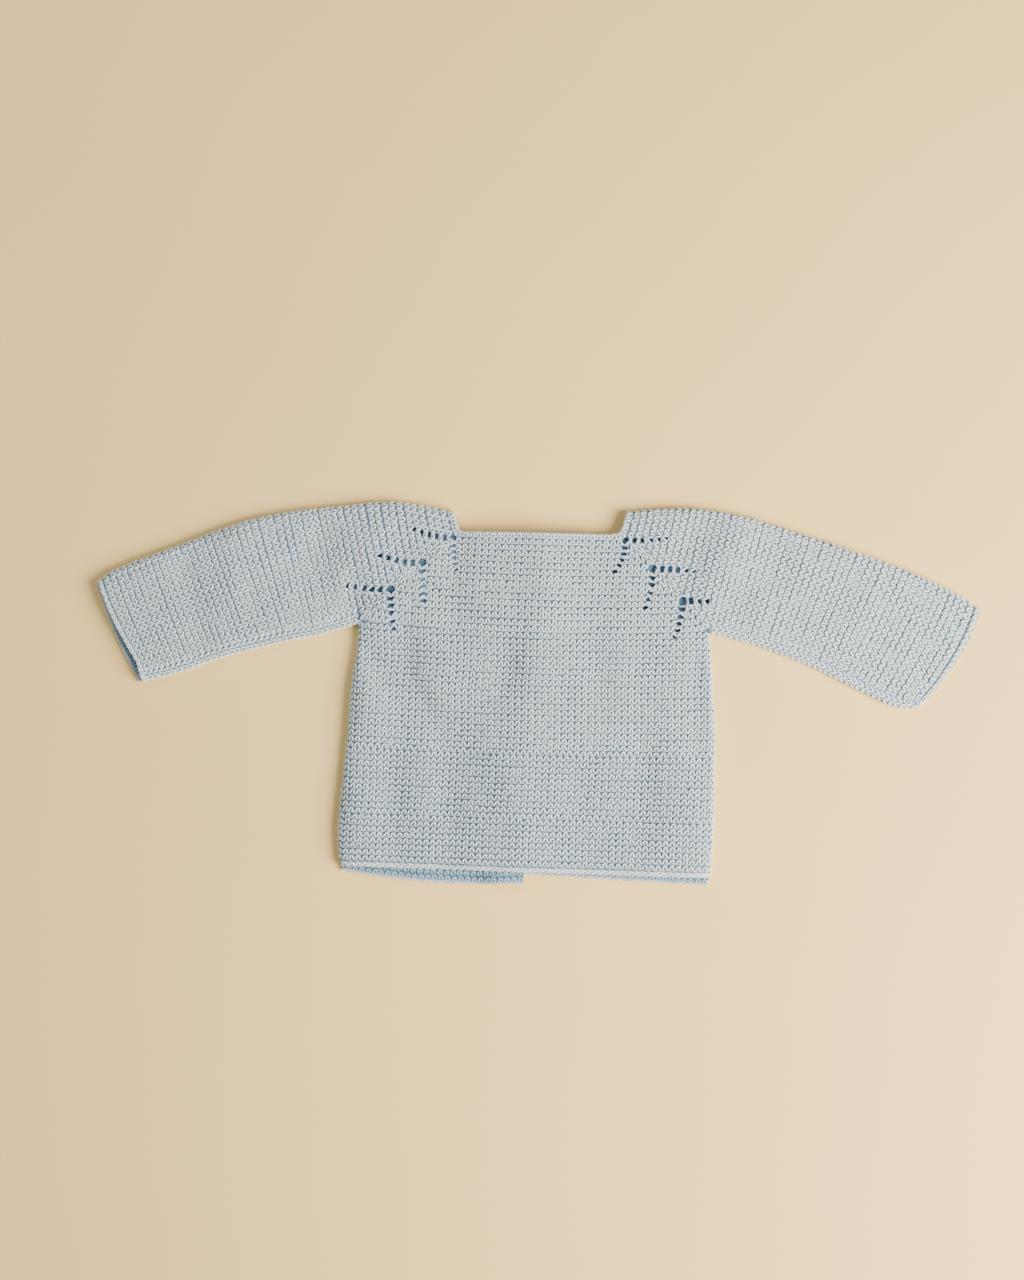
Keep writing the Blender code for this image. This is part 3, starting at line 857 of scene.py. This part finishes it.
def braid(name, edges, settings):
    """Strands braided along the middle of each edge, as cast-on and cast-off loops lie."""
    rng = np.random.default_rng(BRAID_SEED)
    strands = []
    for line_at, edge in edges:
        band = banded(line_at, edge.ridge, edge.half)
        along = distances(band.line)
        _, down, out, _ = frames(band)
        turns = max(round(along[-1] / settings.stitch), 2)
        wanted = np.linspace(0, along[-1], turns * BRAID_POINTS + 1)
        spot, down, out = (at_distance(along, values, wanted) for values in (band.line, down, out))
        knots = np.linspace(0, along[-1], turns + 1)
        wobble = np.interp(wanted, knots, rng.standard_normal(turns + 1))
        for phase in BRAID:
            turn = 2 * math.pi * (wanted / settings.stitch / len(BRAID) + phase)
            turn = turn + BRAID_SLIP * wobble
            aside = edge.reach * (1 + BRAID_UNEVEN * wobble) * np.cos(turn)
            crossing = np.sin(2 * turn)
            rise = BRAID_RISE + BRAID_LIFT * edge.reach * crossing
            line = spot + down * aside[:, None] + out * rise[:, None]
            np.maximum(line[:, 2], settings.chain / 2 + REST, out=line[:, 2])
            # Painted light and shade: paler where a strand crosses over, darker where it dips
            # under, with a little random tone
            depth = BRAID_SHADING[0] + BRAID_SHADING[1] * crossing + BRAID_UNEVEN * wobble
            strands.append((line, edge.tone * np.clip(depth, 0, 1), wanted))
    spun(name, strands, settings.chain, 1, settings)


# ---- shells


def mesh_from(shape, name):
    mesh = bpy.data.meshes.new(name)
    shape.to_mesh(mesh)
    shape.free()
    return mesh


def cutter():
    """Upright prisms through the eyelets, a little wider than the clear holes."""
    shape = bmesh.new()
    for x, y, half_long, half_short, _ in EYELETS:
        verts = bmesh.ops.create_cone(shape, cap_ends=True, **PRISM)["verts"]
        half = max(half_long, half_short) + PRISM_SPARE
        bmesh.ops.scale(shape, vec=(half, half, 1), verts=verts)
        bmesh.ops.translate(shape, vec=(x, y, PRISM_MIDDLE), verts=verts)
    return add_object("eyelets", mesh_from(shape, "eyelets"))


def shell(name, lines, ridges, settings, facing=1, cut=None, thickness=SHELL):
    """A thin closed wall behind a face that runs through lines of equally many points."""
    rows, columns = len(lines), len(lines[0])
    shape = bmesh.new()
    counted = shape.loops.layers.uv.new("stitches")
    bmesh.ops.create_grid(
        shape, x_segments=columns - 1, y_segments=rows - 1, size=0.5, calc_uvs=True
    )
    shape.verts.ensure_lookup_table()
    stitches = distances(lines[rows // 2])[-1] / settings.stitch
    for face in shape.faces:
        for corner in face.loops:
            corner[counted].uv = (corner[counted].uv[0] * stitches, corner[counted].uv[1] * ridges)
    grid = np.array(lines)
    out = np.cross(np.gradient(grid, axis=0), np.gradient(grid, axis=1))
    out /= np.maximum(np.linalg.norm(out, axis=2), 1e-12)[:, :, None]
    out *= np.sign(out[:, columns // 2, 2].mean() * facing)
    grid = (grid - out * SUNK) if facing > 0 else grid
    for vert, spot in zip(shape.verts, grid.reshape(-1, 3)):
        vert.co = spot
    shape.normal_update()
    if sum(face.normal.z for face in shape.faces) * facing < 0:
        bmesh.ops.reverse_faces(shape, faces=shape.faces)
    piece = add_object(name, mesh_from(shape, name))
    thick = piece.modifiers.new("thickness", "SOLIDIFY")
    thick.thickness = thickness
    thick.offset = -1
    if cut is not None:
        holes = piece.modifiers.new("eyelets", "BOOLEAN")
        holes.operation = "DIFFERENCE"
        holes.solver = "EXACT"
        holes.object = cut
        holes.use_self = True
    graph = bpy.context.evaluated_depsgraph_get()
    solid = bpy.data.meshes.new_from_object(piece.evaluated_get(graph))
    piece.modifiers.clear()
    piece.data = solid
    solid.name = name
    solid.shade_smooth()
    solid.set_sharp_from_angle(angle=SHARP)
    solid.materials.clear()
    solid.materials.append(shell_material(settings, facing))
    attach(piece, "root")
    return piece


# ---- materials


def new_material(name, values):
    """A material with values of its surface, and its node tree and that surface's inputs."""
    material = bpy.data.materials.new(name)
    material.use_nodes = True
    inputs = material.node_tree.nodes["Principled BSDF"].inputs
    for key, value in values.items():
        inputs[key].default_value = value
    return material, material.node_tree, inputs


def put(tree, socket, value):
    """Give an input a value, or link it to another node's output."""
    if isinstance(value, bpy.types.NodeSocket):
        tree.links.new(value, socket)
    else:
        socket.default_value = value


def add_node(tree, kind, **values):
    node = tree.nodes.new("ShaderNode" + kind)
    for key, value in values.items():
        if key in node.inputs:
            put(tree, node.inputs[key], value)
        else:
            setattr(node, key, value)
    return node


def maths(tree, operation, *values, clamp=False):
    node = add_node(tree, "Math", operation=operation, use_clamp=clamp)
    for socket, value in zip(node.inputs, values):
        put(tree, socket, value)
    return node.outputs[0]


def noise(tree, grain):
    scale, detail = grain
    spot = add_node(tree, "TexCoord").outputs["Object"]
    made = add_node(tree, "TexNoise", Vector=spot, Scale=scale, Detail=detail)
    return made.outputs["Fac"]


def blend(tree, kind, *values):
    """Two colours mixed by a factor, all three given in that node's order."""
    node = add_node(tree, "Mix", data_type="RGBA", blend_type=kind)
    for number, value in zip(MIX_INPUTS, values):
        put(tree, node.inputs[number], value)
    return node.outputs[MIX_OUTPUT]


def ramp(tree, value, *stops):
    """Colours from one stop to the next, each stop a place and a colour."""
    node = add_node(tree, "ValToRGB", Fac=value)
    for element, (position, colour) in zip(node.color_ramp.elements, stops):
        element.position = position
        element.color = (*colour, 1.0)
    return node.outputs["Color"]


def bump(tree, height, strength, distance):
    made = add_node(tree, "Bump", Height=height, Strength=strength, Distance=distance)
    return made.outputs["Normal"]


def yarn_material(settings):
    """Pale yarn with painted shade in the furrows and feet, a little uneven in tone, with fine
    hairs.
    """
    if "yarn" in bpy.data.materials:
        return bpy.data.materials["yarn"]
    material, tree, surface = new_material("yarn", YARN_SURFACE)
    depth = add_node(tree, "Attribute", attribute_name="depth").outputs["Fac"]
    drift = maths(tree, "MULTIPLY_ADD", noise(tree, PATCHES), PATCH_SHADE, -PATCH_SHADE / 2)
    tone = maths(tree, "ADD", depth, drift, clamp=True)
    # Painted shade: the ramp runs from the furrow shade colour, where depth is low, to the pale
    # yarn
    colour = ramp(tree, tone, (0.0, settings.furrow_shade), (0.75, settings.pale))
    put(tree, surface["Base Color"], colour)
    put(tree, surface["Normal"], bump(tree, noise(tree, HAIRS), 0.6, 0.15 * MM))
    return material


def shell_material(settings, facing):
    """Garter ridges, counted by the shells' own stitches and ridges: pale ridges, with painted
    shade in the furrows.
    """
    name = "knit_ground" if facing > 0 else "knit_under"
    if name in bpy.data.materials:
        return bpy.data.materials[name]
    material, tree, surface = new_material(name, SHELL_SURFACE)

    def wave(source, turns, scale, lift):
        angle = maths(tree, "MULTIPLY", source, turns * 2 * math.pi)
        return maths(tree, "MULTIPLY_ADD", maths(tree, "COSINE", angle), scale, lift)

    counted = add_node(tree, "UVMap", uv_map="stitches").outputs[0]
    column, row, _ = add_node(tree, "SeparateXYZ", Vector=counted).outputs
    scalloped = maths(tree, "ADD", row, wave(column, 1, 0.2, 0.0))
    height = maths(tree, "ADD", wave(scalloped, 1, -0.45, 0.5), wave(column, 2, 0.12, 0.0))
    height = maths(tree, "MULTIPLY_ADD", noise(tree, TUFTS), TUFT_HEIGHT, height)
    # Painted shade: the furrows take the furrow shade colour, half as strongly on the lower shells
    pale, furrow = np.array(settings.pale), np.array(settings.furrow_shade)
    if facing < 0:
        furrow = (furrow + pale) / 2
    colour = ramp(tree, height, (0.3, furrow), (0.95, pale))
    # Painted shade: the upward faces of the lower shells, which lie in shadow under the upper
    # layer, are darkened by the inner colour
    if facing < 0:
        normal = add_node(tree, "NewGeometry").outputs["Normal"]
        upward = add_node(tree, "SeparateXYZ", Vector=normal).outputs["Z"]
        inside = maths(tree, "GREATER_THAN", upward, 0.5)
        colour = blend(tree, "MULTIPLY", inside, colour, (*settings.inner, 1.0))
    put(tree, surface["Base Color"], colour)
    put(tree, surface["Normal"], bump(tree, height, 0.8, 1.0 * MM))
    return material


def floor_material(settings):
    material, tree, surface = new_material("floor", FLOOR_SURFACE)
    shaded = (*(FLOOR_SHADE * part for part in settings.floor), 1.0)
    colour = blend(tree, "MIX", noise(tree, CLOUDS), shaded, (*settings.floor, 1.0))
    put(tree, surface["Base Color"], colour)
    return material


# ---- settings and operators


class SweaterYarn(bpy.types.PropertyGroup):
    """The yarn's sizes and colours"""

    thickness: bpy.props.FloatProperty(
        name="Thickness", description="Diameter of the yarn", default=1.2 * MM, unit="LENGTH"
    )
    stitch: bpy.props.FloatProperty(
        name="Stitch", description="Width of a stitch", default=4.0 * MM, unit="LENGTH"
    )
    chain: bpy.props.FloatProperty(
        name="Chain", description="Diameter of the edges' yarn", default=1.35 * MM, unit="LENGTH"
    )
    roundness: bpy.props.FloatProperty(
        name="Roundness", description="Fall from ridge to furrow", default=0.55 * MM, unit="LENGTH"
    )
    head_rise: bpy.props.FloatProperty(
        name="Head rise", description="Height of a loop's head", default=0.55 * MM, unit="LENGTH"
    )
    foot_rise: bpy.props.FloatProperty(
        name="Foot rise", description="Height of a loop's foot", default=-0.15 * MM, unit="LENGTH"
    )
    fibres: bpy.props.IntProperty(
        name="Fibres", description="How many loose fibres stand off the yarn", default=7000, min=0
    )
    unevenness: bpy.props.FloatProperty(
        name="Unevenness", description="How much the stitches differ", default=0.45, min=0, max=1
    )
    pale: bpy.props.FloatVectorProperty(
        name="Pale", description="Colour of the yarn", default=(0.65, 0.745, 0.81), subtype="COLOR"
    )
    # Painted shade that the yarn's furrows and feet and the shells' furrows take
    furrow_shade: bpy.props.FloatVectorProperty(
        name="Deep", description="Colour in furrows", default=(0.115, 0.225, 0.31), subtype="COLOR"
    )
    # Painted shade on the lower layers' upward faces, under the upper layer
    inner: bpy.props.FloatVectorProperty(
        name="Inner", description="Tint of the inside", default=(0.23, 0.39, 0.52), subtype="COLOR"
    )


class SweaterStage(bpy.types.PropertyGroup):
    """The floor's colour and the lights' power"""

    floor: bpy.props.FloatVectorProperty(
        name="Floor", description="The floor's colour", default=(0.98, 0.695, 0.27), subtype="COLOR"
    )
    key: bpy.props.FloatProperty(
        name="Key light", description="Its power", default=58.0, unit="POWER"
    )
    fill: bpy.props.FloatProperty(
        name="Fill light", description="Its power", default=8.0, unit="POWER"
    )


class SWEATER_OT_cloth(bpy.types.Operator):
    """Make the thin shells under the stitches"""

    bl_idname = "sweater.cloth"
    bl_label = "Cloth"

    def execute(self, context):
        settings = context.scene.sweater_yarn
        cut = cutter()
        rows = [front_row(n / 2) for n in range(2 * HEM_RIDGE + 1)]
        lines = [over_row(row, FRONT_SAMPLES, True, True) for row in rows]
        piece = shell("front_cloth", lines, HEM_RIDGE, settings, cut=cut)
        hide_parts("front")
        for side in SIGN:
            rows = [sleeve_row(side, n / 2) for n in range(2 * TOP_RIDGE + 1)]
            lines = [over_row(row, SLEEVE_SAMPLES, True, True) for row in rows]
            piece = shell(f"sleeve_{side}_cloth", lines, TOP_RIDGE, settings, cut=cut)
            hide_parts(f"sleeve_{side}_upper")
            rows = [sleeve_row(side, n, upper=False) for n in range(TOP_RIDGE + 1)]
            lines = [lower_line(row, HALF_SAMPLES, REST) for row in rows]
            name = f"sleeve_{side}_under"
            piece = shell(name, lines, TOP_RIDGE, settings, facing=-1, thickness=UNDER_SHELL)
            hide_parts(f"sleeve_{side}_lower")
            rows = [back_row(side, n) for n in range(HEM_RIDGE + 1)]
            lines = [lower_line(row, HALF_SAMPLES, REST, lapped=side == "right") for row in rows]
            name = f"back_{side}_cloth"
            piece = shell(name, lines, HEM_RIDGE, settings, facing=-1, thickness=BACK_SHELL)
            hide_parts(f"back_{side}")
        bpy.data.objects.remove(cut)
        return {"FINISHED"}


class SWEATER_OT_stitches(bpy.types.Operator):
    """Knit the ridges of the yoke, the body and the sleeves"""

    bl_idname = "sweater.stitches"
    bl_label = "Stitches"

    def execute(self, context):
        settings = context.scene.sweater_yarn
        middle = YOKE_RIDGES + BODY_RIDGES // 2
        heads = knit("yoke", yoke_courses(settings), settings)
        heads += knit("body_top", body_courses(YOKE_RIDGES, middle, settings), settings)
        heads += knit("body_foot", body_courses(middle, HEM_RIDGE - 1, settings), settings)
        for side in SIGN:
            heads += knit("sleeve_" + side, sleeve_courses(side, settings), settings)
        fuzz("fuzz", heads, settings)
        ridges = (HEM_RIDGE - 1.5, HEM_RIDGE - 0.5)
        knit("back_hem", lower_courses(back_line, ridges, 0.5, settings), settings)
        knit("cuff", lower_courses(under_line, (0.5, 1.5, 2.5), -0.5, settings), settings)
        return {"FINISHED"}


class SWEATER_OT_edges(bpy.types.Operator):
    """Braid the loops along the neck, the hem and the cuffs"""

    bl_idname = "sweater.edges"
    bl_label = "Edges"

    def execute(self, context):
        edges = [(body_line, HEM_EDGE), (yoke_line, NECK_EDGE)]
        for side in SIGN:
            edges.append((partial(sleeve_line, side), CUFF_EDGE))
            edges.append((partial(back_line, side), BACK_HEM_EDGE))
            edges.append((partial(under_line, side), UNDER_CUFF_EDGE))
        braid("edges", edges, context.scene.sweater_yarn)
        return {"FINISHED"}


class SWEATER_OT_stage(bpy.types.Operator):
    """Set the floor, the lights and the camera"""

    bl_idname = "sweater.stage"
    bl_label = "Stage"

    def execute(self, context):
        settings = context.scene.sweater_stage
        shape = bmesh.new()
        bmesh.ops.create_grid(shape, x_segments=1, y_segments=1, size=FLOOR_SIZE)
        floor = add_object("floor", mesh_from(shape, "floor"))
        floor.data.materials.append(floor_material(settings))
        for name, spot, size, power in (
            ("key", KEY_SPOT, KEY_SIZE, settings.key),
            ("fill", FILL_SPOT, FILL_SIZE, settings.fill),
        ):
            lamp = bpy.data.lights.new(name, "AREA")
            lamp.shape = "DISK"
            lamp.size = size
            lamp.energy = power
            lamp.color = LAMP_COLOUR
            light = add_object(name, lamp)
            light.location = spot
            light.rotation_mode = "QUATERNION"
            light.rotation_quaternion = (-Vector(spot)).to_track_quat("-Z", "Y")
        world = bpy.data.worlds.new("studio")
        world.use_nodes = True
        background = world.node_tree.nodes["Background"].inputs
        background["Color"].default_value = WORLD_COLOUR
        background["Strength"].default_value = WORLD_STRENGTH
        context.scene.world = world
        lens = bpy.data.cameras.new("camera")
        lens.sensor_fit = "AUTO"
        lens.sensor_width = SENSOR
        lens.lens = LENS
        camera = add_object("camera", lens)
        away = PHOTO[1] * PIXEL * MM * lens.lens / lens.sensor_width
        x = (PHOTO[0] / 2 - ORIGIN[0]) * PIXEL * MM
        y = (ORIGIN[1] - PHOTO[1] / 2) * PIXEL * MM
        camera.location = (x, y, away + FACE_HEIGHT)
        context.scene.camera = camera
        return {"FINISHED"}


class SWEATER_PT_panel(bpy.types.Panel):
    """The sweater's steps"""

    bl_idname = "SWEATER_PT_panel"
    bl_label = "Knit baby sweater"
    bl_space_type = "VIEW_3D"
    bl_region_type = "UI"
    bl_category = "Sweater"

    def draw(self, context):
        for operator in OPERATORS:
            self.layout.operator(operator.bl_idname)


OPERATORS = (SWEATER_OT_cloth, SWEATER_OT_stitches, SWEATER_OT_edges, SWEATER_OT_stage)
CLASSES = (SweaterYarn, SweaterStage, *OPERATORS, SWEATER_PT_panel)


def register():
    for cls in CLASSES:
        bpy.utils.register_class(cls)
    bpy.types.Scene.sweater_yarn = bpy.props.PointerProperty(type=SweaterYarn)
    bpy.types.Scene.sweater_stage = bpy.props.PointerProperty(type=SweaterStage)


def unregister():
    del bpy.types.Scene.sweater_stage
    del bpy.types.Scene.sweater_yarn
    for cls in reversed(CLASSES):
        bpy.utils.unregister_class(cls)


def main():
    register()
    bpy.ops.sweater.cloth()
    bpy.ops.sweater.stitches()
    bpy.ops.sweater.edges()
    bpy.ops.sweater.stage()


if __name__ == "__main__":
    main()
